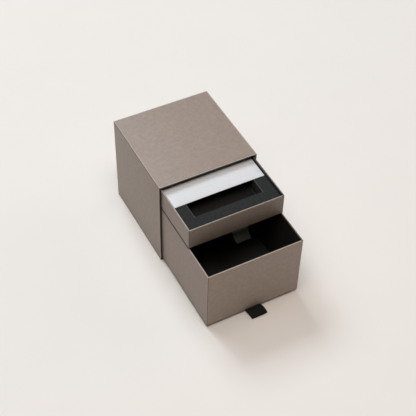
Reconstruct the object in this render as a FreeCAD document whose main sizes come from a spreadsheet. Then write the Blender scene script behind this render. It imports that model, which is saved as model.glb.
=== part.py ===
import FreeCAD, Part
import os
import re
import Sketcher

# Cube gift box: a rigid sleeve, open at the front, that holds a shallow tray above a deep drawer.
#
# The sleeve, and the tray and drawer, which are set-up boxes, are of greyboard covered in taupe paper and
# lined in black, and a black binding folds round the boards at the sleeve's mouth. Tray and drawer slide
# out towards the front, -Y, and each has a ribbon pull under its front edge. The tray carries a foam
# insert with a rectangular recess, and a white card lies loose on the foam.
#
# Millimetres. The origin is the middle of the sleeve's underside, +X to the right, +Y to the back and +Z
# up. Tray and drawer are modelled part-way out, and that is the rest pose.

DIMENSIONS = (
    ("sleeve_width", 100.0, "outside, left to right"),
    ("sleeve_depth", 100.0, "outside, front to back"),
    ("sleeve_height", 99.0, "outside, underside to top"),
    ("sleeve_board", 1.5, "thickness of the sleeve's greyboard"),
    ("box_board", 0.8, "thickness of the greyboard in tray and drawer"),
    ("cover", 0.12, "thickness of the taupe paper, the edge binding and the corner tape"),
    ("liner", 0.1, "thickness of the black lining paper"),
    ("turn_in", 12.0, "how far the cover or the binding is turned over an edge"),
    ("sheet_inset", 1.5, "how far the base and back sheets stop short of the edges"),
    ("liner_reveal", 0.15, "how far the lining stops short of a rim"),
    ("tape_arm", 9.0, "width of each arm of a corner tape"),
    ("box_width", 95.7, "outside width of tray and drawer"),
    ("box_depth", 97.6, "outside depth of tray and drawer"),
    ("drawer_lift", 2.26, "height of the drawer's underside"),
    ("drawer_height", 69.0, "outside height of the drawer"),
    ("rim_gap", 1.1, "between the drawer's rim and the tray's underside"),
    ("tray_height", 23.0, "outside height of the tray"),
    ("drawer_out", 90.6, "how far the drawer stands out of the sleeve at rest"),
    ("tray_out", 54.4, "how far the tray stands out of the sleeve at rest"),
    ("ribbon_width", 16.0, "width of both ribbon pulls"),
    ("ribbon_layer", 0.3, "thickness of one layer of ribbon; a pull is folded double"),
    ("ribbon_tail", 24.0, "length of ribbon glued under a base board"),
    ("ribbon_bend", 4.0, "radius at which a pull bends where it comes out"),
    ("drawer_pull", 11.7, "straight length of the drawer's pull"),
    ("drawer_pull_hang", 5.0, "its slope below level, in degrees"),
    ("drawer_pull_shift", 0.0, "its middle, to the right of the drawer's middle"),
    ("tray_pull", 8.2, "straight length of the tray's pull"),
    ("tray_pull_hang", 48.0, "its slope below level, in degrees"),
    ("tray_pull_shift", 3.0, "its middle, to the right of the tray's middle"),
    ("foam_play", 0.15, "gap round the foam insert"),
    ("foam_height", 18.6, "height of the foam insert"),
    ("recess_width", 68.6, "recess in the foam, left to right"),
    ("recess_depth", 66.6, "recess in the foam, front to back"),
    ("recess_sink", 14.0, "how deep the recess is"),
    ("recess_corner", 1.0, "radius of the recess's upright corners"),
    ("card_width", 91.8, "left to right"),
    ("card_depth", 62.0, "front to back"),
    ("card_thickness", 0.6, "thickness of the card"),
    ("card_set_back", 31.1, "from the lining of the tray's front wall to the card"),
)
ALIASES = {alias for alias, _, _ in DIMENSIONS}

# How a board is drawn, by the way it faces: the plane of its body, the axes that run across and up in
# that plane, the axis through the board, and whether its pad is reversed to grow along that axis.
DRAWN_ON = {
    "facing x": ("YZ_Plane", 1, 2, 0, False),
    "facing y": ("XZ_Plane", 0, 2, 1, True),
    "facing z": ("XY_Plane", 0, 1, 2, False),
}
AXES = "xyz"
LIE_ALONG_X = FreeCAD.Rotation(
    FreeCAD.Vector(0, 0, 1), FreeCAD.Vector(0, -1, 0), FreeCAD.Vector(1, 0, 0), "XYZ"
)
UPRIGHT_TOLERANCE = 1e-6

doc = FreeCAD.newDocument("GiftBox")
sheet = doc.addObject("Spreadsheet::Sheet", "Dims")
for row, (name, value, note) in enumerate(DIMENSIONS, start=1):
    sheet.set(f"A{row}", name)
    sheet.set(f"B{row}", str(value))
    sheet.set(f"C{row}", note)
    sheet.setAlias(f"B{row}", name)
doc.recompute()


def dim(text):
    """The text as an expression on the sheet: each alias in it becomes Dims.alias."""
    return re.sub(r"[a-z_]+", lambda word: f"Dims.{word[0]}" if word[0] in ALIASES else word[0], text)


def moved(corner, offset):
    """A place, as three expressions, shifted by another three."""
    return [f"({start}) + ({step})" for start, step in zip(corner, offset)]


def place(thing, corner):
    """Binds an object's place to three expressions, for x, y and z."""
    for axis, text in zip(AXES, corner):
        thing.setExpression(f".Placement.Base.{axis}", dim(text))
    return thing


def rectangle(body, name, plane, across, up, shift=("0", "0", "0")):
    """A sketch of a rectangle on one of the body's own planes, with one corner at shift."""
    sketch = body.newObject("Sketcher::SketchObject", name)
    support = next(feature for feature in body.Origin.OriginFeatures if feature.Role == plane)
    sketch.AttachmentSupport = (support, [""])
    sketch.MapMode = "FlatFace"
    corners = [FreeCAD.Vector(x, y, 0) for x, y in ((0, 0), (1, 0), (1, 1), (0, 1))]
    for side in range(4):
        sketch.addGeometry(Part.LineSegment(corners[side], corners[(side + 1) % 4]), False)
    for side, lies in enumerate(("Horizontal", "Vertical", "Horizontal", "Vertical")):
        sketch.addConstraint(Sketcher.Constraint("Coincident", side, 2, (side + 1) % 4, 1))
        sketch.addConstraint(Sketcher.Constraint(lies, side))
    sketch.addConstraint(Sketcher.Constraint("Coincident", 0, 1, -1, 1))
    for side, kind, text in ((0, "DistanceX", across), (1, "DistanceY", up)):
        index = sketch.addConstraint(Sketcher.Constraint(kind, side, 1, side, 2, 1.0))
        sketch.setExpression(f"Constraints[{index}]", dim(text))
    for axis, text in zip(AXES, shift):
        sketch.setExpression(f".AttachmentOffset.Base.{axis}", dim(text))
    return sketch


def plate(name, facing, sizes, corner):
    """A flat board or sheet: a rectangle padded to its thickness. Sizes run along x, y and z."""
    plane, across, up, through, reverse = DRAWN_ON[facing]
    body = doc.addObject("PartDesign::Body", name)
    pad = body.newObject("PartDesign::Pad", name + "_pad")
    pad.Profile = rectangle(body, name + "_outline", plane, sizes[across], sizes[up])
    pad.Reversed = reverse
    pad.setExpression("Length", dim(sizes[through]))
    body.Tip = pad
    return place(body, corner)


def sink(body, name, across, up, shift, depth, upwards):
    """Pockets a rectangle into a board that faces z, upwards or downwards from the level of shift."""
    before = body.Tip
    pocket = body.newObject("PartDesign::Pocket", name)
    pocket.Profile = rectangle(body, name + "_outline", "XY_Plane", across, up, shift)
    pocket.Reversed = upwards
    pocket.setExpression("Length", dim(depth))
    body.Tip = pocket
    doc.recompute()
    if pocket.Shape.Volume >= before.Shape.Volume:
        raise RuntimeError(f"{name} takes nothing away")
    return pocket


def block(name, sizes, corner):
    """A plain box for the booleans. Sizes run along x, y and z."""
    box = doc.addObject("Part::Box", name)
    for side, text in zip(("Length", "Width", "Height"), sizes):
        box.setExpression(side, dim(text))
    return place(box, corner)


def cut(name, base, *tools):
    """What is left of base when every tool has been taken away."""
    for number, tool in enumerate(tools, start=1):
        whole, base = base, doc.addObject("Part::Cut", name if tool is tools[-1] else f"{name}_{number}")
        base.Base, base.Tool = whole, tool
    return base


def fuse(name, *shapes):
    """All the shapes in one."""
    joined = doc.addObject("Part::MultiFuse", name)
    joined.Shapes = list(shapes)
    joined.Refine = True
    return joined


def corner_tapes(name, sizes, corner, run):
    """Four strips of gummed tape, each folded into an inside corner of four walls.

    Sizes and corner are those of the space between the bare walls, and run is the axis, 0, 1 or 2, that
    the corners run along.
    """
    inside = [size if axis == run else f"{size} - 2 * cover" for axis, size in enumerate(sizes)]
    step = ["0" if axis == run else "cover" for axis in range(3)]
    tube = cut(
        name + "_tube",
        block(name + "_walls", sizes, corner),
        block(name + "_lining", inside, moved(corner, step)),
    )
    gaps = []
    for axis in range(3):
        if axis != run:
            size = [f"{text} - 2 * tape_arm" if n == axis else text for n, text in enumerate(sizes)]
            shift = ["tape_arm" if n == axis else "0" for n in range(3)]
            gaps.append(block(f"{name}_gap_{AXES[axis]}", size, moved(corner, shift)))
    return cut(name, tube, *gaps)


def sleeve():
    """The outer sleeve: five boards, taped, covered, bound at the front edge and lined."""
    origin = ("0 - sleeve_width / 2", "0 - sleeve_depth / 2", "0")
    wide, deep = "sleeve_width - 2 * cover", "sleeve_depth - 3 * cover"
    tall = "sleeve_height - 3 * cover"
    clear_wide, clear_tall = f"{wide} - 2 * sleeve_board", f"{tall} - 2 * sleeve_board"
    clear_deep = f"{deep} - sleeve_board"
    lined_wide, lined_tall = f"{clear_wide} - 2 * cover", f"{clear_tall} - 2 * cover"
    low, wall = ("cover", "cover", "2 * cover"), ("sleeve_board", "0", "sleeve_board")
    shell = moved(origin, low)
    front = moved(shell, ("0", "0 - cover", "0"))
    hollow = moved(shell, wall)
    lined = moved(hollow, ("cover", "0", "cover"))
    far_x, far_y, far_z = f"{wide} - sleeve_board", clear_deep, f"{tall} - sleeve_board"

    boards = [
        plate("sleeve_base_board", "facing z", (wide, deep, "sleeve_board"), shell),
        plate("sleeve_top_board", "facing z", (wide, deep, "sleeve_board"),
              moved(shell, ("0", "0", far_z))),
        plate("sleeve_left_board", "facing x", ("sleeve_board", deep, clear_tall),
              moved(shell, ("0", "0", "sleeve_board"))),
        plate("sleeve_right_board", "facing x", ("sleeve_board", deep, clear_tall),
              moved(shell, (far_x, "0", "sleeve_board"))),
        plate("sleeve_back_board", "facing y", (clear_wide, "sleeve_board", clear_tall),
              moved(shell, ("sleeve_board", far_y, "sleeve_board"))),
    ]
    tapes = corner_tapes(
        "sleeve_corner_tapes",
        (clear_wide, f"{clear_deep} + cover - turn_in", clear_tall),
        moved(hollow, ("0", "turn_in - cover", "0")),
        run=1,
    )

    name = "sleeve_cover"
    outside = block(name + "_outside", ("sleeve_width", "sleeve_depth - cover", "sleeve_height - cover"),
                    moved(origin, ("0", "0", "cover")))
    inside = block(name + "_inside", (wide, f"{deep} + cover", tall), front)
    window = block(name + "_window",
                   ("sleeve_width - 2 * turn_in", "cover", "sleeve_height - cover - 2 * turn_in"),
                   moved(origin, ("turn_in", "sleeve_depth - 2 * cover", "cover + turn_in")))
    cover = cut(name, outside, inside, window)

    name = "sleeve_edge_binding"
    binding = cut(
        name,
        fuse(name + "_folded", block(name + "_rim", (wide, "cover", tall), front),
             block(name + "_turned", (clear_wide, "turn_in - cover", clear_tall), hollow)),
        block(name + "_mouth", (lined_wide, "turn_in", lined_tall), moved(lined, ("0", "0 - cover", "0"))),
    )

    sheets = [
        plate("sleeve_base_sheet", "facing z",
              ("sleeve_width - 2 * sheet_inset", "sleeve_depth - 2 * sheet_inset", "cover"),
              moved(origin, ("sheet_inset", "sheet_inset", "0"))),
        plate("sleeve_back_sheet", "facing y",
              ("sleeve_width - 2 * sheet_inset", "cover", "sleeve_height - cover - 2 * sheet_inset"),
              moved(origin, ("sheet_inset", "sleeve_depth - cover", "cover + sheet_inset"))),
        plate("sleeve_back_lining", "facing y", (lined_wide, "liner", lined_tall),
              moved(lined, ("0", f"{clear_deep} - liner", "0"))),
    ]
    run = f"{clear_deep} - liner + cover - liner_reveal"
    lining = cut(
        "sleeve_wall_lining",
        block("sleeve_wall_lining_outside", (lined_wide, run, lined_tall),
              moved(lined, ("0", "liner_reveal - cover", "0"))),
        block("sleeve_wall_lining_inside", (f"{lined_wide} - 2 * liner", run, f"{lined_tall} - 2 * liner"),
              moved(lined, ("liner", "liner_reveal - cover", "liner"))),
    )
    return [*boards, tapes, cover, binding, *sheets, lining]


def covered_box(prefix, height, origin, pull, hang, shift):
    """A set-up box without a lid, with a ribbon pull under its front: the drawer or the tray."""
    wide, deep = "box_width - 2 * cover", "box_depth - 2 * cover"
    clear_wide, clear_deep = f"{wide} - 2 * box_board", f"{deep} - 2 * box_board"
    lined_wide, lined_deep = f"{clear_wide} - 2 * cover", f"{clear_deep} - 2 * cover"
    wall_tall = f"{height} - 3 * cover - box_board"
    shell = moved(origin, ("cover", "cover", "2 * cover"))
    floor = moved(shell, ("0", "0", "box_board"))
    hollow = moved(floor, ("box_board", "box_board", "0"))
    lined = moved(hollow, ("cover", "cover", "0"))
    above = f"{height} - turn_in - 2 * cover - box_board"
    ribbon_left = f"(box_width - ribbon_width) / 2 + {shift}"

    base = plate(prefix + "_base_board", "facing z", (wide, deep, "box_board"), shell)
    sink(base, prefix + "_base_board_ribbon_bed", "ribbon_width", "ribbon_tail - cover",
         (f"{ribbon_left} - cover", "0", "0"), "2 * ribbon_layer - cover", upwards=True)
    boards = [
        base,
        plate(prefix + "_front_board", "facing y", (wide, "box_board", wall_tall), floor),
        plate(prefix + "_back_board", "facing y", (wide, "box_board", wall_tall),
              moved(floor, ("0", f"{deep} - box_board", "0"))),
        plate(prefix + "_left_board", "facing x", ("box_board", clear_deep, wall_tall),
              moved(floor, ("0", "box_board", "0"))),
        plate(prefix + "_right_board", "facing x", ("box_board", clear_deep, wall_tall),
              moved(floor, (f"{wide} - box_board", "box_board", "0"))),
    ]
    tapes = corner_tapes(prefix + "_corner_tapes", (clear_wide, clear_deep, above), hollow, run=2)

    name = prefix + "_cover"
    outside = block(name + "_outside", ("box_width", "box_depth", f"{height} - cover"),
                    moved(origin, ("0", "0", "cover")))
    inside = block(name + "_inside", (wide, deep, f"{height} - 3 * cover"), shell)
    turned = block(name + "_turned", (clear_wide, clear_deep, "turn_in - cover"),
                   moved(hollow, ("0", "0", above)))
    mouth = block(name + "_mouth", (lined_wide, lined_deep, "turn_in"), moved(lined, ("0", "0", above)))
    window = block(name + "_window", ("box_width - 2 * turn_in", "box_depth - 2 * turn_in", "cover"),
                   moved(origin, ("turn_in", "turn_in", "cover")))
    slit = block(name + "_slit", ("ribbon_width", "turn_in", "2 * ribbon_layer"),
                 moved(origin, (ribbon_left, "0", "cover")))
    folded = fuse(name + "_folded", cut(name + "_skin", outside, inside), turned)
    cover = cut(name, folded, mouth, window, slit)

    sheets = [
        plate(prefix + "_base_sheet", "facing z",
              ("box_width - 2 * sheet_inset", "box_depth - 2 * sheet_inset", "cover"),
              moved(origin, ("sheet_inset", "sheet_inset", "0"))),
        plate(prefix + "_floor_lining", "facing z", (lined_wide, lined_deep, "liner"), lined),
    ]
    tall = f"{wall_tall} + cover - liner - liner_reveal"
    lining = cut(
        prefix + "_wall_lining",
        block(prefix + "_wall_lining_outside", (lined_wide, lined_deep, tall),
              moved(lined, ("0", "0", "liner"))),
        block(prefix + "_wall_lining_inside",
              (f"{lined_wide} - 2 * liner", f"{lined_deep} - 2 * liner", tall),
              moved(lined, ("liner", "liner", "liner"))),
    )
    ribbon = ribbon_pull(prefix + "_ribbon", moved(origin, (ribbon_left, "0", "cover + ribbon_layer")),
                         pull, hang)
    return [*boards, tapes, cover, *sheets, lining, ribbon]


def ribbon_pull(name, start, pull, hang):
    """A ribbon folded double: a tail under the base board, a bend where it comes out, a straight end.

    start is the left edge of the fold's middle layer, at the front of the box.
    """
    down = f"(1 - cos({hang} * 1 deg))"
    bend_end = moved(start, ("0", f"0 - ribbon_bend * sin({hang} * 1 deg)", f"0 - ribbon_bend * {down}"))
    tip = moved(bend_end, ("0", f"0 - {pull} * cos({hang} * 1 deg)", f"0 - {pull} * sin({hang} * 1 deg)"))

    tail = block(name + "_tail", ("ribbon_width", "ribbon_tail", "2 * ribbon_layer"),
                 moved(start, ("0", "0", "0 - ribbon_layer")))
    bend = cut(
        name + "_bend",
        rod(name + "_bend_outside", "ribbon_bend + ribbon_layer", moved(start, ("0", "0", "0 - ribbon_bend")),
            hang),
        rod(name + "_bend_inside", "ribbon_bend - ribbon_layer", moved(start, ("0", "0", "0 - ribbon_bend")),
            hang),
    )
    end = block(name + "_end", ("ribbon_width", pull, "2 * ribbon_layer"),
                moved(tip, ("0", f"ribbon_layer * sin({hang} * 1 deg)",
                            f"0 - ribbon_layer * cos({hang} * 1 deg)")))
    end.Placement = FreeCAD.Placement(FreeCAD.Vector(), FreeCAD.Rotation(FreeCAD.Vector(1, 0, 0), 1))
    end.setExpression(".Placement.Rotation.Angle", dim(f"{hang} * 1 deg"))
    fold = rod(name + "_fold", "ribbon_layer", tip, "360")
    return fuse(name, tail, bend, end, fold)


def rod(name, radius, start, sweep):
    """A cylinder, or a slice of one, that lies along x. Its slice opens from the top towards the front."""
    cylinder = doc.addObject("Part::Cylinder", name)
    cylinder.Placement = FreeCAD.Placement(FreeCAD.Vector(), LIE_ALONG_X)
    cylinder.setExpression("Radius", dim(radius))
    cylinder.setExpression("Height", dim("ribbon_width"))
    cylinder.setExpression("Angle", dim(f"{sweep} * 1 deg"))
    return place(cylinder, start)


def foam_insert(origin):
    """A block of foam that fills the tray, with a rectangular recess sunk into it."""
    walls = "2 * cover + box_board + liner + foam_play"
    wide, deep = f"box_width - 2 * ({walls})", f"box_depth - 2 * ({walls})"
    body = plate("foam_insert", "facing z", (wide, deep, "foam_height"),
                 moved(origin, (walls, walls, "2 * cover + box_board + liner")))
    shift = (f"({wide} - recess_width) / 2", f"({deep} - recess_depth) / 2", "foam_height")
    recess = sink(body, "foam_insert_recess", "recess_width", "recess_depth", shift, "recess_sink",
                  upwards=False)

    whole = recess.Shape.BoundBox
    rounded = body.newObject("PartDesign::Fillet", "foam_insert_corners")
    rounded.Base = (recess, [
        f"Edge{number}" for number, edge in enumerate(recess.Shape.Edges, start=1)
        if edge.BoundBox.XLength + edge.BoundBox.YLength < UPRIGHT_TOLERANCE
        and whole.XMin < edge.BoundBox.XMin and edge.BoundBox.XMax < whole.XMax
    ])
    rounded.setExpression("Radius", dim("recess_corner"))
    body.Tip = rounded
    return body


def card(origin):
    """A white card that lies on the foam, pushed towards the back of the tray."""
    walls = "2 * cover + box_board + liner"
    corner = ("(box_width - card_width) / 2", f"{walls} + card_set_back", f"{walls} + foam_height")
    return plate("card", "facing z", ("card_width", "card_depth", "card_thickness"), moved(origin, corner))


drawer_origin = ("0 - box_width / 2", "0 - sleeve_depth / 2 - drawer_out", "drawer_lift")
tray_origin = ("0 - box_width / 2", "0 - sleeve_depth / 2 - tray_out",
               "drawer_lift + drawer_height + rim_gap")
sub_parts = [
    *sleeve(),
    *covered_box("drawer", "drawer_height", drawer_origin, "drawer_pull", "drawer_pull_hang",
                 "drawer_pull_shift"),
    *covered_box("tray", "tray_height", tray_origin, "tray_pull", "tray_pull_hang", "tray_pull_shift"),
    foam_insert(tray_origin),
    card(tray_origin),
]
doc.recompute()

faulty = [item.Name for item in doc.Objects if "Invalid" in item.State or "Error" in item.State]
if faulty:
    raise RuntimeError(f"these objects did not compute: {faulty}")
for item in sub_parts:
    if item.Shape.isNull() or not item.Shape.isValid() or not item.Shape.Solids:
        raise RuntimeError(f"{item.Name} is not a sound solid")

os.makedirs("parts", exist_ok=True)
for item in sub_parts:
    item.Label = item.Name
    item.Shape.exportStep(os.path.join("parts", item.Label + ".step"))
    box = item.Shape.BoundBox
    print(f"{item.Label:24s} solids {len(item.Shape.Solids)}  {item.Shape.Volume:10.1f} mm3"
          f"  x {box.XMin:7.2f} {box.XMax:7.2f}  y {box.YMin:7.2f} {box.YMax:7.2f}"
          f"  z {box.ZMin:6.2f} {box.ZMax:6.2f}")
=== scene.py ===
"""Looks of the drawer gift box: paper wraps, ribbon pulls, foam bed, card, and a plain stage.

Laid out as an add-on and run as a script. Metres throughout. +Z is up and the front faces -Y.
"""

import math
from contextlib import contextmanager

import bmesh
import bpy
from bpy.props import FloatProperty, FloatVectorProperty, PointerProperty
from bpy.types import NodeSocket, Operator, Panel, PropertyGroup
from mathutils import Matrix, Vector
from mathutils.geometry import interpolate_bezier


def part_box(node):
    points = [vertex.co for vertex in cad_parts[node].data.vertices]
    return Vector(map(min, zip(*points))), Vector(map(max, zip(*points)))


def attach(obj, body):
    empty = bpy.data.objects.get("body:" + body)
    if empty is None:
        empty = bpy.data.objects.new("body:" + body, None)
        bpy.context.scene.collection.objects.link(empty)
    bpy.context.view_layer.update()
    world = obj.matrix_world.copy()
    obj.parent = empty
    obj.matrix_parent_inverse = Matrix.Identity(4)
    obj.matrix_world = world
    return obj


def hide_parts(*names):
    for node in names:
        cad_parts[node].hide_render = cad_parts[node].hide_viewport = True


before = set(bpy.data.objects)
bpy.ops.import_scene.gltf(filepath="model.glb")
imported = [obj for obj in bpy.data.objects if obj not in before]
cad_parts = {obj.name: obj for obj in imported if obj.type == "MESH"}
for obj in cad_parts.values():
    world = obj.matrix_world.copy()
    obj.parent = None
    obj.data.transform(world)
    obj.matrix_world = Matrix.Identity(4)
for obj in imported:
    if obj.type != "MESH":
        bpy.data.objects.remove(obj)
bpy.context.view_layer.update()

bl_info = {
    "name": "Drawer Gift Box",
    "version": (1, 0, 0),
    "blender": (4, 5, 0),
    "location": "View3D > Sidebar > Gift Box",
    "description": "Papers, ribbons, foam and card of a gift box with a tray above a drawer",
    "category": "Add Mesh",
}

MM = 0.001


# ---------------------------------------------------------------- sizes and colours

def length(name, description, millimetres):
    """A length property. Its value is kept in metres."""
    return FloatProperty(name=name, description=description, default=millimetres * MM,
                         unit="LENGTH", precision=5)


def share(name, description, default):
    """A number without a unit."""
    return FloatProperty(name=name, description=description, default=default)


def angle(name, description, degrees):
    """An angle property. Its value is kept in radians."""
    return FloatProperty(name=name, description=description, default=math.radians(degrees),
                         subtype="ANGLE")


def colour(name, description, default):
    """A colour property, in linear light."""
    return FloatVectorProperty(name=name, description=description, default=default, size=3,
                               min=0.0, max=1.0, subtype="COLOR")


class PaperSettings(PropertyGroup):
    fold: length("Fold radius", "Radius of the paper round a board's edge", 0.25)
    step: length("Sheet step", "How far a pasted side sheet stands proud of the wrap", 0.08)
    seam: length("Seam", "From a box's upright edge to the side sheet's cut edge", 2.1)
    turn_in: length("Turn-in", "How far paper is turned over an edge", 12.0)
    skin: length("Skin", "How near to a face of its box a point of the paper lies", 0.3)
    # The pale band along rims and top folds is partly scuffing and partly painted highlight.
    rubbed_and_lit: length("Rubbed width", "Width of the pale band along rims and top folds", 1.5)
    rim_wear_and_highlight: share("Rim wear", "How much of the worn colour shows along rims and top folds", 0.5)
    side_wear_and_highlight: share("Side wear", "How much of it shows beside a drawer's front folds", 0.2)
    # The dark line beside a fold is painted shade, and along the foot a painted contact shadow.
    painted_shade: length("Crease width", "Width of the dark line beside a fold", 2.0)
    painted_shade_dark: share("Crease dark", "How much darker that line is", 0.7)
    grain: length("Grain", "Size of the paper's fibre grain", 0.4)
    cloud: length("Cloud", "Size of the cloudy patches in the dye", 3.0)
    taupe: colour("Taupe", "Colour of the wrapping paper", (0.343, 0.271, 0.232))
    # This colour is also the colour of the painted highlight on rims and folds.
    worn_and_lit: colour("Worn", "Colour of the paper where it is rubbed", (0.62, 0.57, 0.53))
    binding: colour("Binding black", "Colour of the sleeve's binding and lining", (0.010, 0.010, 0.009))
    lining: colour("Lining black", "Colour of the lining in the drawer and the tray", (0.031, 0.031, 0.030))


class BoardSettings(PropertyGroup):
    grey: colour("Greyboard", "Colour of the recycled board", (0.31, 0.29, 0.26))
    kraft: colour("Tape", "Colour of the gummed corner tape", (0.42, 0.29, 0.18))


class RibbonSettings(PropertyGroup):
    pitch: length("Rib pitch", "From one rib to the next", 0.62)
    rib: length("Rib height", "How far a rib stands out of the weave", 0.045)
    thickness: length("Thickness", "Thickness of one layer", 0.26)
    layer: length("Layer", "From one layer of a folded pull to the next", 0.3)
    room: length("Room", "Between a ribbon's edge and the slot that it comes out of", 0.1)
    selvedge: length("Selvedge", "Width of the plain edge on each side", 0.8)


class FoamSettings(PropertyGroup):
    edge: length("Edge radius", "Softness of the foam's cut edges", 0.35)
    corner: length("Corner radius", "Radius of the recess's upright corners", 1.0)
    cell: length("Cell", "Size of the foam's cells", 0.45)
    rough: length("Roughness", "How uneven the cut faces are", 0.07)
    lump: length("Lump", "Size of the lumps in the cut faces", 1.1)
    # Painted shade on the cut walls and on the recess's floor.
    wall_shade: share("Wall shade", "How much darker the cut walls are", 0.9)
    floor_shade: share("Floor shade", "How much darker the recess's floor is", 0.4)
    # A painted highlight along the recess's side edges.
    lip_highlight: length("Lip", "Width of the pale edge along the recess's sides", 1.0)
    wide: length("Recess width", "Recess, left to right", 68.6)
    deep: length("Recess depth", "Recess, front to back", 66.6)
    sink: length("Recess sink", "How deep the recess is cut", 14.0)
    grey: colour("Grey", "Colour of the foam", (0.0283, 0.0290, 0.0300))


class CardSettings(PropertyGroup):
    edge: length("Edge radius", "Softness of the cut edges", 0.1)
    corner: length("Corner radius", "Radius of the corners", 0.5)
    bow: length("Bow", "How far the middle lifts off the foam", 0.35)
    white: colour("White", "Colour of the card", (0.73, 0.73, 0.755))


class StageSettings(PropertyGroup):
    place: FloatVectorProperty(name="Camera place", description="Where the camera stands",
                               default=(-0.30746, -0.60838, 0.73332), size=3, subtype="TRANSLATION")
    turn: angle("Turn", "Camera turned about the vertical", -28.850)
    tilt: angle("Tilt", "Camera tilted up from looking straight down", 42.997)
    roll: angle("Roll", "Camera rolled about its own line of sight", 1.588)
    lens: FloatProperty(name="Lens", description="Focal length on a 36 mm sensor", default=85.69,
                        unit="CAMERA")
    floor: colour("Floor", "Colour of the floor", (0.86, 0.82, 0.79))
    floor_radius: length("Floor radius", "From the middle of the floor to its edge", 8000)
    aim: FloatVectorProperty(name="Aim", description="The point that every softbox faces",
                             default=(0.0, -0.05, 0.03), size=3, subtype="TRANSLATION")
    power: FloatProperty(name="Power", description="Scales every softbox", default=1.0)


# Each softbox: its name, where it stands, the length of its side, its power and its tint.
SOFTBOXES = (
    ("softbox_top", (-0.11, 0.00, 3.12), 2.4, 34.2, (0.880, 0.898, 1.000)),
    ("softbox_back", (-0.11, 2.20, 2.57), 1.2, 43.9, (0.836, 0.952, 1.000)),
    ("softbox_left_back", (-0.88, 1.87, 2.57), 1.2, 19.9, (0.799, 0.905, 1.000)),
    ("softbox_left_front", (-0.99, -0.77, 2.86), 1.8, 23.4, (1.000, 0.803, 0.573)),
    ("softbox_front", (0.00, -1.10, 2.97), 0.9, 13.2, (0.924, 1.000, 0.955)),
    ("softbox_right", (1.98, -0.11, 1.25), 1.8, 7.5, (1.000, 0.707, 0.440)),
)
SENSOR_WIDTH = 36           # of the camera, in millimetres
FLOOR_DROP = 0.2 * MM       # how far the floor lies under the box


# The drawer's and the tray's wraps: the piece above, whose front marks how far back the rim's scuffing and
# painted highlight reach before painted shade takes over, and how bright the wrap and the side sheets are
# painted against the sleeve's paper: painted light on the drawer's wrap, painted shade on the tray's wrap
# and on all the side sheets.
WRAPS = {
    "drawer": {"above": "tray_cover", "wrap_painted_light": 1.10, "sheet_painted_light": 0.97},
    "tray": {"above": "sleeve_cover", "wrap_painted_light": 0.80, "sheet_painted_light": 0.92},
}


# How each pull hangs. The knee and the tip are places on its middle line: how far out, how far down, and
# the slope there. The layers stand a gap further apart at the knee and turn round the tip at its radius.
# At the tip, lean is how far it strays to the right, swing how far the right edge stands back, twist how
# far it is raised, curl how far both edges droop, and round how far the corners are drawn back.
PULLS = {
    "drawer": {
        "knee": (5.0 * MM, -0.5 * MM, math.radians(8)), "tip": (10.3 * MM, 1.5 * MM, math.radians(28)),
        "gap": 0.8 * MM, "tip_radius": 0.45 * MM, "lean": 1.8 * MM, "swing": 0.0,
        "twist": 0.3 * MM, "curl": 0.2 * MM, "round": 0.4 * MM,
        "black": (0.0075, 0.0068, 0.0062),
    },
    "tray": {
        "knee": (1.7 * MM, 3.8 * MM, math.radians(68)), "tip": (6.9 * MM, 8.8 * MM, math.radians(28)),
        "gap": 0.35 * MM, "tip_radius": 0.45 * MM, "lean": 1.4 * MM, "swing": 1.0 * MM,
        "twist": -1.2 * MM, "curl": 0.6 * MM, "round": 0.2 * MM,
        # Painted lighter than the drawer's pull: painted light on the same black ribbon.
        "black": (0.0165, 0.0165, 0.014),
    },
}

# How finely a pull is modelled: the points on each of its two curves, the steps round its tip, the rows
# of faces in a rib, and the columns of faces across the ribbon.
CURVE_POINTS = 24
TIP_STEPS = 12
ROWS_IN_RIB = 6
COLUMNS = 28

HANDLE = 0.4                # length of a curve's handles, against the distance between its ends
NOSE = 1.4                  # how far the tip reaches out, against its radius
SELVEDGE_RIB = 0.35         # height of a rib in the selvedges, against its height elsewhere
SHORTEST = 1e-12            # stands for the length of a step that has none


# ---------------------------------------------------------------- working in edit mode

UP, DOWN, FORWARD = (0, 0, 1), (0, 0, -1), (0, -1, 0)
FACING = math.cos(math.radians(20))         # how squarely a face looks in a direction to be picked
FOLD_ANGLE = math.radians(60)               # how sharply two faces meet at a fold
UPRIGHT = 0.99                              # how straight up an edge runs to be picked


def deselect_all():
    bpy.ops.object.select_all(action="DESELECT")


def select_only(piece):
    deselect_all()
    piece.select_set(True)
    bpy.context.view_layer.objects.active = piece


def apply_placement():
    """Moves the selected piece's place, turn and size into its mesh."""
    bpy.ops.object.transform_apply(location=True, rotation=True, scale=True)


def named(name):
    """Names the piece that an operator has just made."""
    piece = bpy.context.active_object
    piece.name = name
    piece.data.name = name
    return piece


def add_block(name, low, high):
    """A box between two corners."""
    deselect_all()
    low, high = Vector(low), Vector(high)
    bpy.ops.mesh.primitive_cube_add(size=1, location=(low + high) / 2, scale=high - low)
    apply_placement()
    return named(name)


@contextmanager
def editing(piece):
    """Edit mode on one piece, left again at the end."""
    select_only(piece)
    bpy.ops.object.mode_set(mode="EDIT")
    yield
    bpy.ops.object.mode_set(mode="OBJECT")


def pick(piece, kind, wanted):
    """In edit mode, selects the faces or edges that wanted() says yes to, and nothing else."""
    bpy.ops.mesh.select_mode(type=kind)
    bpy.ops.mesh.select_all(action="DESELECT")
    shape = bmesh.from_edit_mesh(piece.data)
    for part in shape.faces if kind == "FACE" else shape.edges:
        if wanted(part):
            part.select_set(True)
    shape.select_flush_mode()
    bmesh.update_edit_mesh(piece.data)


def faces_towards(direction, where=None):
    """Says yes to faces that look in a direction and, if where is given, whose middle passes it."""
    direction = Vector(direction)

    def wanted(face):
        return face.normal.dot(direction) > FACING and (where is None or where(face.calc_center_median()))
    return wanted


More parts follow.
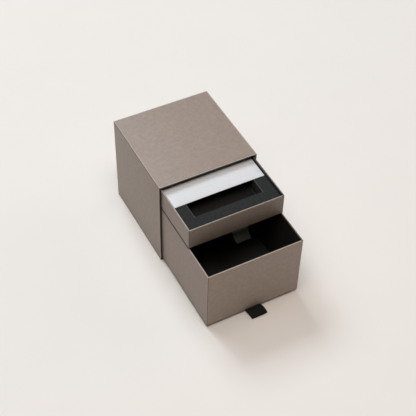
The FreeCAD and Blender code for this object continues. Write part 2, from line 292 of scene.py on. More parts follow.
def is_fold(edge):
    """Says yes to an edge where two faces meet at a fold."""
    return len(edge.link_faces) == 2 and edge.calc_face_angle() > FOLD_ANGLE


def is_upright(edge):
    """Says yes to an edge that runs straight up."""
    along = (edge.verts[1].co - edge.verts[0].co).normalized()
    return abs(along.z) > UPRIGHT


def cut_away(piece, wanted):
    """In edit mode, deletes the faces that wanted() says yes to."""
    pick(piece, "FACE", wanted)
    bpy.ops.mesh.delete(type="FACE")


def cut_line(place, normal):
    """In edit mode, cuts the selected faces along a plane and keeps both sides."""
    bpy.ops.mesh.bisect(plane_co=place, plane_no=normal)


def cut_evenly(piece, axis, low, high, parts):
    """In edit mode, cuts a whole piece into even strips along an axis, from one corner to the other."""
    for count in range(1, parts):
        place, normal = Vector(), Vector()
        place[axis] = low[axis] + (high[axis] - low[axis]) * count / parts
        normal[axis] = 1
        pick(piece, "FACE", lambda face: True)
        cut_line(place, normal)


def round_edges(piece, wanted, radius, segments=4):
    """In edit mode, rounds the edges that wanted() says yes to."""
    pick(piece, "EDGE", wanted)
    bpy.ops.mesh.bevel(offset=radius, segments=segments, affect="EDGES")


def apply_modifier(piece, kind, **settings):
    """Adds one modifier, sets it up and applies it."""
    select_only(piece)
    modifier = piece.modifiers.new(kind.title(), kind)
    for name, value in settings.items():
        setattr(modifier, name, value)
    bpy.ops.object.modifier_apply(modifier=modifier.name)


def smooth(piece, degrees=35):
    """Smooths a piece, except where its faces meet at a sharper angle."""
    select_only(piece)
    bpy.ops.object.shade_smooth_by_angle(angle=math.radians(degrees))


def repaint(piece, material):
    """Gives a piece one material and no other."""
    piece.data.materials.clear()
    piece.data.materials.append(material)


def finish_piece(piece, body, slot, material, *nodes):
    """Paints a piece, hangs it on its body and hides the plain solids that it stands for."""
    repaint(piece, material)
    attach(piece, body)
    if nodes:
        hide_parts(*nodes)


# ---------------------------------------------------------------- material nodes

BLACK = (0.0, 0.0, 0.0, 1.0)

# Two levels of a noise that are stretched to run from 0 to 1. The closer they are, the crisper its
# patches, and two high ones leave only a few flecks.
SOFT, CRISP, FLECKS = (0.3, 0.7), (0.35, 0.65), (0.68, 0.74)


def new_material(name, roughness, specular=0.4):
    """A material with its shader set up. Returns the material, its tree and its shader."""
    material = bpy.data.materials.new(name)
    material.use_nodes = True
    tree = material.node_tree
    shader = tree.nodes["Principled BSDF"]
    shader.inputs["Roughness"].default_value = roughness
    shader.inputs["Specular IOR Level"].default_value = specular
    return material, tree, shader


def add_node(tree, kind, feeds=None, **settings):
    """Adds a node, sets it up, and gives each input its value or the socket that feeds it."""
    node = tree.nodes.new(kind)
    for name, value in settings.items():
        setattr(node, name, value)
    for key, value in (feeds or {}).items():
        if isinstance(value, NodeSocket):
            tree.links.new(value, node.inputs[key])
        else:
            node.inputs[key].default_value = value
    return node


def surface_point(tree, centre=(0, 0, 0)):
    """The point on the surface, measured from a centre."""
    place = add_node(tree, "ShaderNodeTexCoord").outputs["Object"]
    back = [-value for value in centre]
    return add_node(tree, "ShaderNodeMapping", {"Vector": place, "Location": back}).outputs[0]


def parts_of(tree, point):
    """The X, Y and Z of a point."""
    return add_node(tree, "ShaderNodeSeparateXYZ", {0: point}).outputs


def noise(tree, point, size, detail=2.0, roughness=0.5):
    """Soft noise whose features are about size across. From 0 to 1."""
    feeds = {"Vector": point, "Scale": 1 / size, "Detail": detail, "Roughness": roughness}
    return add_node(tree, "ShaderNodeTexNoise", feeds).outputs[0]


def maths(tree, operation, first, second=0.0):
    """A sum, difference or the like of numbers or sockets."""
    return add_node(tree, "ShaderNodeMath", {0: first, 1: second}, operation=operation).outputs[0]


def both(tree, first, second):
    """High only where both are high."""
    return maths(tree, "MULTIPLY", first, second)


def either(tree, first, second):
    """High where one or the other is high."""
    return maths(tree, "MAXIMUM", first, second)


def less(tree, first, second):
    """The first less the second."""
    return maths(tree, "SUBTRACT", first, second)


def size_of(tree, value):
    """A value without its sign."""
    return maths(tree, "ABSOLUTE", value)


def remap(tree, value, low, high, to_low, to_high, kind="LINEAR"):
    """A value's range from low to high, moved to another range and cut off at its ends."""
    feeds = {"Value": value, "From Min": low, "From Max": high, "To Min": to_low, "To Max": to_high}
    return add_node(tree, "ShaderNodeMapRange", feeds, interpolation_type=kind).outputs[0]


def beside(tree, distance, width):
    """1 at no distance, fading to 0 at a width."""
    return remap(tree, distance, 0.0, width, 1.0, 0.0, kind="SMOOTHSTEP")


def stretched(tree, pattern, least=0.0, most=1.0, levels=SOFT):
    """A pattern with its two levels stretched to run from least to most."""
    return remap(tree, pattern, *levels, least, most)


def opaque(rgb, times=1.0):
    """A colour with its alpha, made lighter or darker."""
    return tuple(min(1.0, part * times) for part in rgb) + (1.0,)


def mixed(tree, factor, first, second):
    """Two colours mixed. Either may be a colour value or a socket."""
    # Of the mix node's sockets, inputs 6 and 7 and output 2 are the ones for colours.
    feeds = {0: factor, 6: first, 7: second}
    return add_node(tree, "ShaderNodeMix", feeds, data_type="RGBA").outputs[2]


def mottled(tree, pattern, rgb, dark, light, levels=SOFT):
    """A colour in patches that follow a pattern, from dark times to light times as light."""
    return mixed(tree, stretched(tree, pattern, levels=levels), opaque(rgb, dark), opaque(rgb, light))


def darkened(tree, pattern, tint, most):
    """A colour that a pattern darkens, by most at the most."""
    return mixed(tree, stretched(tree, pattern, most=most), tint, BLACK)


def paint(tree, shader, tint):
    """Gives the shader its colour, from a socket."""
    tree.links.new(tint, shader.inputs["Base Color"])


def bump(tree, shader, height, depth, strength=1.0):
    """Gives the shader a surface relief of that depth."""
    feeds = {"Height": height, "Distance": depth, "Strength": strength}
    tree.links.new(add_node(tree, "ShaderNodeBump", feeds).outputs[0], shader.inputs["Normal"])


# ---------------------------------------------------------------- materials

def fold_marks(tree, point, half, drawn=None):
    """Where the paper round a box of that half size is pale and where it has painted shade.

    The pale band is partly scuffing and partly painted highlight. Painted shade runs along the foot of the
    sides and back as a painted contact shadow, and beside the front folds. The sleeve has no drawn length:
    all its top folds are pale, and its sides have painted shade under them. On the drawer and the tray,
    drawn is how far they come out. As far back as that, the left and front rims are pale, and so are the
    sides beside the front folds. Behind that and along the right, the rim has painted shade instead, and
    behind that the sides have it just under the rim's fold.
    """
    paper = bpy.context.scene.gift_box_paper
    spread = add_node(tree, "ShaderNodeVectorMath", {0: point}, operation="ABSOLUTE").outputs[0]
    depth = add_node(tree, "ShaderNodeVectorMath", {0: tuple(half), 1: spread},
                     operation="SUBTRACT").outputs[0]
    off_side, off_end, _ = parts_of(tree, depth)
    x, y, z = parts_of(tree, point)
    off_front, off_foot = maths(tree, "ADD", y, half.y), maths(tree, "ADD", z, half.z)
    off_right, off_top = less(tree, half.x, x), less(tree, half.z, z)
    on_side, on_front, on_top = (beside(tree, off, paper.skin) for off in (off_side, off_front, off_top))

    # The pale band along the rims and top folds: partly scuffing, partly painted highlight.
    rim = both(tree, on_top, beside(tree, maths(tree, "MINIMUM", off_side, off_end), paper.rubbed_and_lit))
    wear_and_highlight = both(tree, rim, paper.rim_wear_and_highlight)
    # Painted contact shadow along the foot of the sides and back; painted shade beside the front folds.
    foot = both(tree, beside(tree, off_foot, paper.painted_shade), less(tree, 1.0, on_front))
    painted_shade = either(tree, foot, both(tree, on_front, beside(tree, off_side, paper.painted_shade / 2)))
    # Painted shade on the sides just under the top folds.
    under_top = both(tree, on_side, beside(tree, off_top, paper.painted_shade))
    if drawn is None:
        painted_shade = either(tree, painted_shade, under_top)
    else:
        # Under the piece above and along the right rim, painted shade takes the place of the pale band.
        covered = remap(tree, off_front, drawn, drawn + paper.rubbed_and_lit, 0.0, 1.0)
        in_painted_shade = either(tree, covered, beside(tree, off_right, 2 * paper.rubbed_and_lit))
        strip = both(tree, on_side, beside(tree, off_front, paper.seam))
        wear_and_highlight = either(tree, both(tree, wear_and_highlight, less(tree, 1.0, in_painted_shade)), both(tree, strip, paper.side_wear_and_highlight))
        painted_rim_shade = either(tree, both(tree, on_top, in_painted_shade), both(tree, under_top, covered))
        painted_shade = either(tree, painted_shade, painted_rim_shade)
    return wear_and_highlight, both(tree, painted_shade, paper.painted_shade_dark)


def taupe_paper(name, low, high, painted_light=1.0, drawn=None):
    """Dyed wrapping paper on a box between two corners: cloudy dye, fibre grain, marks at the folds.

    The pale marks are partly scuffing and partly painted highlight, the dark ones painted shade, and the
    brightness factor makes the whole paper lighter as painted light, darker as painted shade.
    """
    paper = bpy.context.scene.gift_box_paper
    material, tree, shader = new_material(name, roughness=0.5, specular=0.4)
    centre, half = (low + high) / 2, (high - low) / 2
    point = surface_point(tree, centre)
    cloud = noise(tree, point, paper.cloud, detail=3.0, roughness=0.6)
    grain = noise(tree, point, paper.grain, detail=3.0, roughness=0.7)
    # The brightness factor scales the whole paper: above 1 as painted light, below 1 as painted shade.
    dyed_and_lit = mottled(tree, cloud, paper.taupe, dark=0.915 * painted_light, light=1.085 * painted_light)
    fibred = darkened(tree, grain, dyed_and_lit, most=0.10)
    # Pale marks: partly scuffing, partly painted highlight. Dark marks: painted shade.
    wear_and_highlight, painted_shade = fold_marks(tree, point, half, drawn)
    patchy = both(tree, wear_and_highlight, stretched(tree, noise(tree, point, paper.cloud), least=0.6))
    worn_and_lit = mixed(tree, patchy, fibred, opaque(paper.worn_and_lit))
    paint(tree, shader, mixed(tree, painted_shade, worn_and_lit, BLACK))
    bump(tree, shader, grain, depth=0.03 * MM, strength=0.6)
    return material


def black_paper(name, black, roughness=0.55, specular=0.3):
    """Smooth black paper with a faint fibre grain."""
    paper = bpy.context.scene.gift_box_paper
    material, tree, shader = new_material(name, roughness, specular)
    grain = noise(tree, surface_point(tree), paper.grain, detail=3.0, roughness=0.65)
    paint(tree, shader, mottled(tree, grain, black, dark=0.75, light=1.25))
    bump(tree, shader, grain, depth=0.03 * MM, strength=0.6)
    return material


def greyboard():
    """Recycled board: mottled grey pulp with a few dark flecks."""
    board = bpy.context.scene.gift_box_board
    material, tree, shader = new_material("greyboard", roughness=0.85, specular=0.2)
    point = surface_point(tree)
    pulp = noise(tree, point, size=2.5 * MM, detail=5.0, roughness=0.7)
    specks = noise(tree, point, size=0.7 * MM, detail=1.0)
    grey = mottled(tree, pulp, board.grey, dark=0.85, light=1.12, levels=CRISP)
    flecks = stretched(tree, specks, most=0.6, levels=FLECKS)
    paint(tree, shader, mixed(tree, flecks, grey, opaque(board.grey, times=0.4)))
    bump(tree, shader, pulp, depth=0.06 * MM)
    return material


def gummed_tape():
    """Brown kraft tape with fibres that run along X and Y."""
    board = bpy.context.scene.gift_box_board
    material, tree, shader = new_material("gummed_tape", roughness=0.6, specular=0.35)
    flattened = {"Vector": surface_point(tree), "Scale": (1, 1, 5)}
    point = add_node(tree, "ShaderNodeMapping", flattened).outputs[0]
    fibre = noise(tree, point, size=1.2 * MM, detail=4.0, roughness=0.65)
    paint(tree, shader, mottled(tree, fibre, board.kraft, dark=0.85, light=1.1, levels=CRISP))
    bump(tree, shader, fibre, depth=0.03 * MM)
    return material


def black_ribbon(name, black):
    """Woven black ribbon: a fine warp over the modelled ribs, and a little sheen."""
    material, tree, shader = new_material(name, roughness=0.6, specular=0.15)
    shader.inputs["Sheen Weight"].default_value = 0.03
    shader.inputs["Sheen Roughness"].default_value = 0.4
    point = surface_point(tree)
    threads = {"Vector": point, "Scale": 1 / (0.7 * MM), "Distortion": 0.6, "Detail": 1.0}
    warp = add_node(tree, "ShaderNodeTexWave", threads, bands_direction="X").outputs["Fac"]
    fuzz = noise(tree, point, size=0.3 * MM, detail=2.0)
    paint(tree, shader, mottled(tree, fuzz, black, dark=0.7, light=1.3))
    bump(tree, shader, warp, depth=0.03 * MM, strength=0.7)
    return material


def foam_shade(tree, level):
    """Painted shade on the cut walls and the recess's floor, at a level counted from the foam's top."""
    foam = bpy.context.scene.gift_box_foam
    near, far = foam.edge, 2 * foam.edge
    under_top = remap(tree, level, -far, -near, 1.0, 0.0)
    on_floor = remap(tree, level, near - foam.sink, far - foam.sink, 1.0, 0.0)
    return both(tree, under_top, remap(tree, on_floor, 0.0, 1.0, foam.wall_shade, foam.floor_shade))


def foam_lip_highlight(tree, across, along):
    """A painted highlight along the recess's left and right edges, at places counted from its middle."""
    foam = bpy.context.scene.gift_box_foam
    off_side = less(tree, size_of(tree, across), foam.wide / 2)
    off_end = less(tree, size_of(tree, along), foam.deep / 2)
    on_edge = beside(tree, size_of(tree, off_side), foam.lip_highlight)
    return both(tree, on_edge, beside(tree, off_end, foam.lip_highlight))


def dark_foam(low, high):
    """Dense dark foam, fine open cells: painted shade in the recess, painted highlight on its side edges.
    """
    foam = bpy.context.scene.gift_box_foam
    material, tree, shader = new_material("dark_foam", roughness=0.9, specular=0.18)
    shader.inputs["Sheen Weight"].default_value = 0.08
    point = surface_point(tree, ((low.x + high.x) / 2, (low.y + high.y) / 2, high.z))
    across, along, level = parts_of(tree, point)
    patches = noise(tree, point, size=2.5 * MM, detail=4.0, roughness=0.7)
    cells = add_node(tree, "ShaderNodeTexVoronoi", {"Vector": point, "Scale": 1 / foam.cell}).outputs[0]
    cell_walls = stretched(tree, cells, most=0.5, levels=(0.1, 0.7))
    dense = mottled(tree, patches, foam.grey, dark=0.75, light=1.4)
    celled = mixed(tree, cell_walls, dense, opaque(foam.grey, times=0.35))
    # A painted highlight along the recess's left and right edges.
    lip_lit = mixed(tree, foam_lip_highlight(tree, across, along), celled, opaque(foam.grey, times=3.2))
    # Painted shade in the recess.
    paint(tree, shader, mixed(tree, foam_shade(tree, level), lip_lit, BLACK))
    bump(tree, shader, cells, depth=0.12 * MM, strength=0.8)
    return material


def white_card():
    """Smooth white card, with a faint cloud and grain."""
    card = bpy.context.scene.gift_box_card
    material, tree, shader = new_material("white_card", roughness=0.5, specular=0.4)
    point = surface_point(tree)
    cloud = noise(tree, point, size=3 * MM, detail=3.0, roughness=0.6)
    grain = noise(tree, point, size=0.5 * MM, detail=3.0, roughness=0.6)
    pulp = mottled(tree, cloud, card.white, dark=0.97, light=1.02)
    paint(tree, shader, darkened(tree, grain, pulp, most=0.05))
    bump(tree, shader, grain, depth=0.015 * MM, strength=0.5)
    return material


def floor_paint():
    """Matt pale floor with a hint of mottle."""
    stage = bpy.context.scene.gift_box_stage
    material, tree, shader = new_material("pale_floor", roughness=0.9, specular=0.1)
    mottle = noise(tree, surface_point(tree), size=60 * MM, detail=2.0)
    paint(tree, shader, mottled(tree, mottle, stage.floor, dark=0.994, light=1.006))
    return material


# ---------------------------------------------------------------- paper wraps

def wrapped_walls(name, low, high, rim=0.0, slit=None):
    """The paper round a box whose mouth is up: its walls, and a turn-in under the base.

    With a rim, it also goes over the rim and down inside. slit gives the left end, the right end and
    the height of the slot at the foot of the front wall.
    """
    paper = bpy.context.scene.gift_box_paper
    piece = add_block(name, low, high)
    with editing(piece):
        pick(piece, "FACE", faces_towards(UP))
        if rim:
            turn_down(rim)
        bpy.ops.mesh.delete(type="FACE")
        pick(piece, "FACE", faces_towards(DOWN))
        bpy.ops.mesh.inset(thickness=paper.turn_in)
        bpy.ops.mesh.delete(type="FACE")
        if slit:
            cut_slit(piece, low, slit)
        round_edges(piece, is_fold, paper.fold)
    return fold_thick(piece, box_paper_thickness())


def turn_down(rim):
    """In edit mode, leaves a rim round the selected face and sinks the rest by a turn-in."""
    paper = bpy.context.scene.gift_box_paper
    bpy.ops.mesh.inset(thickness=rim)
    bpy.ops.mesh.extrude_region_move(TRANSFORM_OT_translate={"value": (0, 0, -paper.turn_in)})


def fold_thick(piece, thickness):
    """Gives folded paper its thickness, inwards, and smooths its folds."""
    apply_modifier(piece, "SOLIDIFY", thickness=thickness, offset=-1)
    smooth(piece)
    return piece


def cut_slit(piece, low, slit):
    """In edit mode, opens the slot that a ribbon comes out of, and its bed under the base."""
    left, right, tall = slit
    turn_in = bpy.context.scene.gift_box_paper.turn_in
    front_under = faces_towards(DOWN, lambda middle: middle.y < low.y + turn_in)
    front = faces_towards(FORWARD, lambda middle: middle.y < low.y + MM)
    for side in (left, right):
        pick(piece, "FACE", lambda face: front_under(face) or front(face))
        cut_line((side, 0, 0), (1, 0, 0))
    pick(piece, "FACE", front)
    cut_line((0, 0, low.z + tall), UP)

    def in_slot(face):
        middle = face.calc_center_median()
        in_front = front(face) and middle.z < low.z + tall
        return left < middle.x < right and (front_under(face) or in_front)

    cut_away(piece, in_slot)


def box_paper_thickness():
    """The cover's thickness, from its front face to the front board's."""
    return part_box("drawer_front_board")[0].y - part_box("drawer_cover")[0].y


def side_sheet(name, low, high, side, rim):
    """The sheet pasted over one side wall, from under the base, up, over the rim and down inside."""
    paper = bpy.context.scene.gift_box_paper
    thick = paper.step
    outside = low.x - thick if side < 0 else high.x + thick
    inside = outside - side * (rim + 2 * thick)
    piece = add_block(name, (min(outside, inside), low.y + paper.seam, low.z - thick),
                      (max(outside, inside), high.y - paper.seam, high.z + thick))
    foot = high.z - paper.turn_in
    inwards = (-side, 0, 0)
    with editing(piece):
        cut_away(piece, lambda face: abs(face.normal.y) > FACING)
        pick(piece, "FACE", faces_towards(inwards))
        cut_line((0, 0, foot), UP)
        cut_away(piece, faces_towards(inwards, lambda middle: middle.z < foot))
        round_edges(piece, is_fold, paper.fold + thick)
    return fold_thick(piece, thick)


def box_wrap(prefix, wrap):
    """The wrap and both side sheets of the tray or the drawer."""
    ribbon = bpy.context.scene.gift_box_ribbon
    low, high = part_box(prefix + "_cover")
    ribbon_low, ribbon_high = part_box(prefix + "_ribbon")
    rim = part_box(prefix + "_wall_lining")[0].x - low.x
    slit = (ribbon_low.x - ribbon.room, ribbon_high.x + ribbon.room, 2 * ribbon.layer)
    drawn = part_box(wrap["above"])[0].y - low.y
    wrap_paper = taupe_paper(prefix + "_wrap_paper", low, high, wrap["wrap_painted_light"], drawn)
    sheet_paper = taupe_paper(prefix + "_sheet_paper", low, high, wrap["sheet_painted_light"], drawn)
    walls = wrapped_walls(prefix + "_wrap", low, high, rim, slit)
    finish_piece(walls, prefix, "taupe_paper", wrap_paper, prefix + "_cover")
    for side, word in ((-1, "left"), (1, "right")):
        sheet = side_sheet(f"{prefix}_{word}_sheet", low, high, side, rim)
        finish_piece(sheet, prefix, "taupe_paper", sheet_paper)


def mouth_up(low, high):
    """The corners of a box that lies with its mouth to the front, once its mouth is turned up."""
    return Vector((low.x, low.z, -high.y)), Vector((high.x, high.z, -low.y))


def lay_down(piece):
    """Tips a piece that was modelled with its mouth up, so that the mouth faces the front."""
    select_only(piece)
    piece.rotation_euler.x = math.radians(90)
    apply_placement()


def sleeve_wrap():
    """The sleeve's wrap, which ends flush with the boards' front edges."""
    low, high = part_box("sleeve_cover")
    piece = wrapped_walls("sleeve_wrap", *mouth_up(low, high))
    lay_down(piece)
    finish_piece(piece, "sleeve", "taupe_paper", taupe_paper("sleeve_paper", low, high), "sleeve_cover")


def sleeve_binding(material):
    """The black binding round the boards at the sleeve's mouth: over their edges and down inside."""
    paper = bpy.context.scene.gift_box_paper
    low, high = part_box("sleeve_edge_binding")
    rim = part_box("sleeve_wall_lining")[0].x - low.x
    low, high = mouth_up(low, high)
    middle = (low + high) / 2
    piece = add_block("sleeve_binding", low, high)

    def outside(face):
        outwards = face.calc_center_median() - middle
        return face.normal.z < FACING and face.normal.dot(outwards) > 0

    with editing(piece):
        pick(piece, "FACE", faces_towards(UP))
        turn_down(rim)
        bpy.ops.mesh.delete(type="FACE")
        cut_away(piece, outside)
        round_edges(piece, is_fold, paper.fold)
    fold_thick(piece, box_paper_thickness())
    lay_down(piece)
    finish_piece(piece, "sleeve", "black_paper", material, "sleeve_edge_binding")


# ---------------------------------------------------------------- ribbon pulls

def steps_of(path):
    """The length of each step along a path of points."""
    return [(there - here).length for here, there in zip(path, path[1:])]


def arc_spaced(path, count):
    """count points at equal steps along a path of points, ends included."""
    reach = [0.0]
    for step in steps_of(path):
        reach.append(reach[-1] + step)
    spaced, span = [], 0
    for index in range(count):
        wanted = reach[-1] * index / (count - 1)
        while span < len(path) - 2 and reach[span + 1] < wanted:
            span += 1
        part = (wanted - reach[span]) / max(reach[span + 1] - reach[span], SHORTEST)
        spaced.append(path[span].lerp(path[span + 1], min(part, 1.0)))
    return spaced


def middle_line(start, pull):
    """The line midway between a pull's two layers, from the slot to the tip, as (y, z) points."""
    line, here, ahead = [start], start, Vector((-1, 0))
    for out, down, slope in (pull["knee"], pull["tip"]):
        there = start + Vector((-out, -down))
        towards = Vector((-math.cos(slope), -math.sin(slope)))
        handle = (there - here).length * HANDLE
        line += interpolate_bezier(here, here + ahead * handle, there - towards * handle, there,
                                   CURVE_POINTS)[1:]
        here, ahead = there, towards
    return line


def loop_path(start, layer, tail, pull):
    """The side line of a pull folded double, as (y, z) points, from one end of its tail to the other.

    start is the place midway between its layers in the slot, layer the step from one to the next.
    """
    middle = middle_line(start, pull)
    last = len(middle) - 1
    radius = pull["tip_radius"]
    upper, lower = [], []
    for index, place in enumerate(middle):
        along = (middle[min(index + 1, last)] - middle[max(index - 1, 0)]).normalized()
        up = Vector((along.y, -along.x))
        part = index / last
        half = layer / 2 + (radius - layer / 2) * part + pull["gap"] / 2 * math.sin(math.pi * part)
        upper.append(place + up * half)
        lower.append(place - up * half)
    nose = [middle[-1] + along * radius * NOSE * math.sin(math.pi * step / TIP_STEPS)
            - up * radius * math.cos(math.pi * step / TIP_STEPS) for step in range(1, TIP_STEPS)]
    back = Vector((tail, 0))
    return [lower[0] + back, *lower, *nose, *reversed(upper), upper[0] + back]


def ribbon_pull(prefix, pull):
    """A woven ribbon laid along its loop, with modelled ribs that are lower in its selvedges."""
    ribbon = bpy.context.scene.gift_box_ribbon
    node_low, node_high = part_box(prefix + "_ribbon")
    half = (node_high.x - node_low.x) / 2
    middle = (node_low.x + node_high.x) / 2
    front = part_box(prefix + "_cover")[0].y
    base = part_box(prefix + "_base_sheet")[1].z
    tail = node_high.y - front
    path = loop_path(Vector((front, base + ribbon.layer)), ribbon.layer, tail, pull)
    last = round(sum(steps_of(path)) / ribbon.pitch) * ROWS_IN_RIB
    line = arc_spaced(path, last + 1)

    deselect_all()
    bpy.ops.mesh.primitive_grid_add(x_subdivisions=COLUMNS, y_subdivisions=last, size=1)
    piece = named(prefix + "_ribbon_pull")
    for vertex in piece.data.vertices:
        row = round((vertex.co.y + 0.5) * last)
        side = 2 * vertex.co.x
        along = (line[min(row + 1, last)] - line[max(row - 1, 0)]).normalized()
        outward = Vector((-along.y, along.x))
        in_selvedge = half * (1 - abs(side)) < ribbon.selvedge
        rib = ribbon.rib * (SELVEDGE_RIB if in_selvedge else 1.0)
        lift = rib * math.cos(2 * math.pi * row / ROWS_IN_RIB)
        out = max(0.0, front - line[row].x) / pull["tip"][0]
        place = line[row] + outward * lift
        vertex.co = (middle + side * half + pull["lean"] * out,
                     place.x + out * (pull["swing"] * side + pull["round"] * side ** 4),
                     place.y + out * (pull["twist"] * side - pull["curl"] * side ** 2))
    apply_modifier(piece, "SOLIDIFY", thickness=ribbon.thickness, offset=0)
    smooth(piece, degrees=60)
    return piece


# ---------------------------------------------------------------- stage

def add_floor(stage):
    """A wide flat disc just under the box."""
    bpy.ops.mesh.primitive_circle_add(vertices=96, radius=stage.floor_radius, fill_type="NGON",
                                      location=(0, 0, -FLOOR_DROP))
    apply_placement()
    floor = named("floor")
    floor.data.materials.append(floor_paint())


def darken_room():
    """Takes away all light but the softboxes'."""
    world = bpy.data.worlds.new("dark_room")
    world.use_nodes = True
    world.node_tree.nodes["Background"].inputs["Strength"].default_value = 0.0
    bpy.context.scene.world = world


def add_softbox(name, place, target, size, power, tint):
    """A square softbox that faces a target."""
    towards = (Vector(target) - Vector(place)).to_track_quat("-Z", "Y")
    bpy.ops.object.light_add(type="AREA", location=place, rotation=towards.to_euler())
    lamp = named(name)
    lamp.data.size = size
    lamp.data.energy = power
    lamp.data.color = tint


def add_camera(stage):
    """The camera, placed and turned as the stage's settings say."""
    bpy.ops.object.camera_add()
    camera = named("camera")
    turned = (Matrix.Rotation(stage.turn, 4, "Z") @ Matrix.Rotation(stage.tilt, 4, "X")
              @ Matrix.Rotation(stage.roll, 4, "Z"))
    camera.matrix_world = Matrix.Translation(stage.place) @ turned
    camera.data.sensor_fit = "HORIZONTAL"
    camera.data.sensor_width = SENSOR_WIDTH
    camera.data.lens = stage.lens
    bpy.context.scene.camera = camera


# ---------------------------------------------------------------- operators

class GIFTBOX_OT_stage(Operator):
    """Sets up the floor, the softboxes, the dark room and the camera"""
    bl_idname = "giftbox.stage"
    bl_label = "Stage"

    def execute(self, context):
        stage = context.scene.gift_box_stage
        deselect_all()
        add_floor(stage)
        darken_room()
        for name, place, size, power, tint in SOFTBOXES:
            add_softbox(name, place, stage.aim, size, power * stage.power, tint)
        add_camera(stage)
        context.scene.view_settings.view_transform = "Standard"
        return {"FINISHED"}


def paint_nodes(material, *endings):
    """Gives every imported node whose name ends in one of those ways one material."""
    found = [node for name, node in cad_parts.items() if name.endswith(endings)]
    if not found:
        raise RuntimeError(f"no node's name ends with {endings}")
    for node in found:
        repaint(node, material)


class GIFTBOX_OT_boards(Operator):
    """Paints the greyboards and their corner tapes"""
    bl_idname = "giftbox.boards"
    bl_label = "Boards and tapes"

    def execute(self, context):
        paint_nodes(greyboard(), "_board")
        paint_nodes(gummed_tape(), "_corner_tapes")
        return {"FINISHED"}


class GIFTBOX_OT_linings(Operator):
    """Paints the black linings, and the taupe sheets on the undersides and the back"""
    bl_idname = "giftbox.linings"
    bl_label = "Linings and sheets"

    def execute(self, context):
        paper = context.scene.gift_box_paper
        paint_nodes(black_paper("black_lining", paper.lining), "_lining")
        paint_nodes(black_paper("sleeve_lining", paper.binding), "sleeve_back_lining", "sleeve_wall_lining")
        for name in ("sleeve_base_sheet", "sleeve_back_sheet", "drawer_base_sheet", "tray_base_sheet"):
            paint_nodes(taupe_paper(name + "_paper", *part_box(name)), name)
        return {"FINISHED"}


class GIFTBOX_OT_wraps(Operator):
    """Folds the taupe paper and the black binding round the sleeve, the drawer and the tray"""
    bl_idname = "giftbox.wraps"
    bl_label = "Paper wraps"

    def execute(self, context):
        sleeve_wrap()
        black = context.scene.gift_box_paper.binding
        sleeve_binding(black_paper("black_binding", black, roughness=0.4, specular=0.8))
        for prefix, wrap in WRAPS.items():
            box_wrap(prefix, wrap)
        return {"FINISHED"}


class GIFTBOX_OT_ribbons(Operator):
    """Weaves both ribbon pulls"""
    bl_idname = "giftbox.ribbons"
    bl_label = "Ribbon pulls"

    def execute(self, context):
        for prefix, pull in PULLS.items():
            material = black_ribbon(prefix + "_ribbon_weave", pull["black"])
            finish_piece(ribbon_pull(prefix, pull), prefix, "black_ribbon", material, prefix + "_ribbon")
        return {"FINISHED"}


class GIFTBOX_OT_foam(Operator):
    """Cuts the foam bed and its recess"""
    bl_idname = "giftbox.foam"
    bl_label = "Foam bed"

    def execute(self, context):
        foam = context.scene.gift_box_foam
        low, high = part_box("foam_insert")
        margin = (high.x - low.x - foam.wide) / 2
        inside = high.x - margin / 2
        piece = add_block("foam_bed", low, high)
        with editing(piece):
            pick(piece, "FACE", faces_towards(UP))
            bpy.ops.mesh.inset(thickness=margin)
            bpy.ops.transform.resize(value=(1, foam.deep / (high.y - low.y - 2 * margin), 1))
            bpy.ops.mesh.extrude_region_move(TRANSFORM_OT_translate={"value": (0, 0, -foam.sink)})
            round_edges(piece, lambda edge: is_upright(edge) and abs(edge.verts[0].co.x) < inside,
                        foam.corner, segments=5)
            round_edges(piece, is_fold, foam.edge, segments=2)
        apply_modifier(piece, "SUBSURF", subdivision_type="SIMPLE", levels=4, render_levels=4)
        lumps = bpy.data.textures.new("foam_cut", type="CLOUDS")
        lumps.noise_scale = foam.lump
        # At a middle level of 1 the lumps only sink in, so the top stays clear of the card.
        apply_modifier(piece, "DISPLACE", texture=lumps, texture_coords="LOCAL",
                       strength=foam.rough, mid_level=1.0)
        smooth(piece, degrees=60)
        finish_piece(piece, "tray", "black_foam", dark_foam(low, high), "foam_insert")
        return {"FINISHED"}


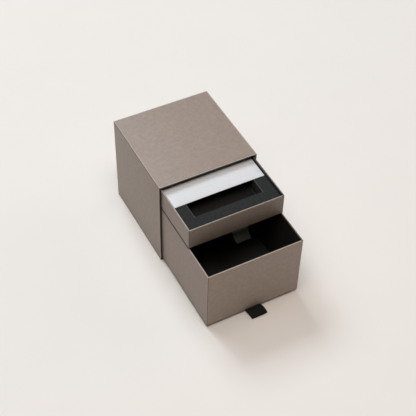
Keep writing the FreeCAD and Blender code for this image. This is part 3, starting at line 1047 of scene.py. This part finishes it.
class GIFTBOX_OT_card(Operator):
    """Cuts the white card that lies on the foam"""
    bl_idname = "giftbox.card"
    bl_label = "Card"

    def execute(self, context):
        card = context.scene.gift_box_card
        low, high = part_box("card")
        middle, half = ((low + high) / 2).x, ((high - low) / 2).x
        piece = add_block("card_sheet", low, high)
        with editing(piece):
            round_edges(piece, is_upright, card.corner)
            round_edges(piece, is_fold, card.edge, segments=2)
            cut_evenly(piece, 0, low, high, parts=12)
            cut_evenly(piece, 1, low, high, parts=9)
        for vertex in piece.data.vertices:
            vertex.co.z += card.bow * (1 - ((vertex.co.x - middle) / half) ** 2)
        smooth(piece)
        finish_piece(piece, "card", "white_card", white_card(), "card")
        return {"FINISHED"}


class GIFTBOX_PT_panel(Panel):
    """Lists the steps that dress the gift box"""
    bl_idname = "GIFTBOX_PT_panel"
    bl_label = "Gift Box"
    bl_space_type = "VIEW_3D"
    bl_region_type = "UI"
    bl_category = "Gift Box"

    def draw(self, context):
        for operator in OPERATORS:
            self.layout.operator(operator.bl_idname)


OPERATORS = (GIFTBOX_OT_stage, GIFTBOX_OT_boards, GIFTBOX_OT_linings, GIFTBOX_OT_wraps,
             GIFTBOX_OT_ribbons, GIFTBOX_OT_foam, GIFTBOX_OT_card)
SETTINGS = {"gift_box_paper": PaperSettings, "gift_box_board": BoardSettings,
            "gift_box_ribbon": RibbonSettings, "gift_box_foam": FoamSettings,
            "gift_box_card": CardSettings, "gift_box_stage": StageSettings}


def register():
    for kind in (*SETTINGS.values(), *OPERATORS, GIFTBOX_PT_panel):
        bpy.utils.register_class(kind)
    for name, kind in SETTINGS.items():
        setattr(bpy.types.Scene, name, PointerProperty(type=kind))


def unregister():
    for name in SETTINGS:
        delattr(bpy.types.Scene, name)
    for kind in reversed((*SETTINGS.values(), *OPERATORS, GIFTBOX_PT_panel)):
        bpy.utils.unregister_class(kind)


def main():
    register()
    bpy.ops.giftbox.stage()
    bpy.ops.giftbox.boards()
    bpy.ops.giftbox.linings()
    bpy.ops.giftbox.wraps()
    bpy.ops.giftbox.ribbons()
    bpy.ops.giftbox.foam()
    bpy.ops.giftbox.card()


if __name__ == "__main__":
    main()
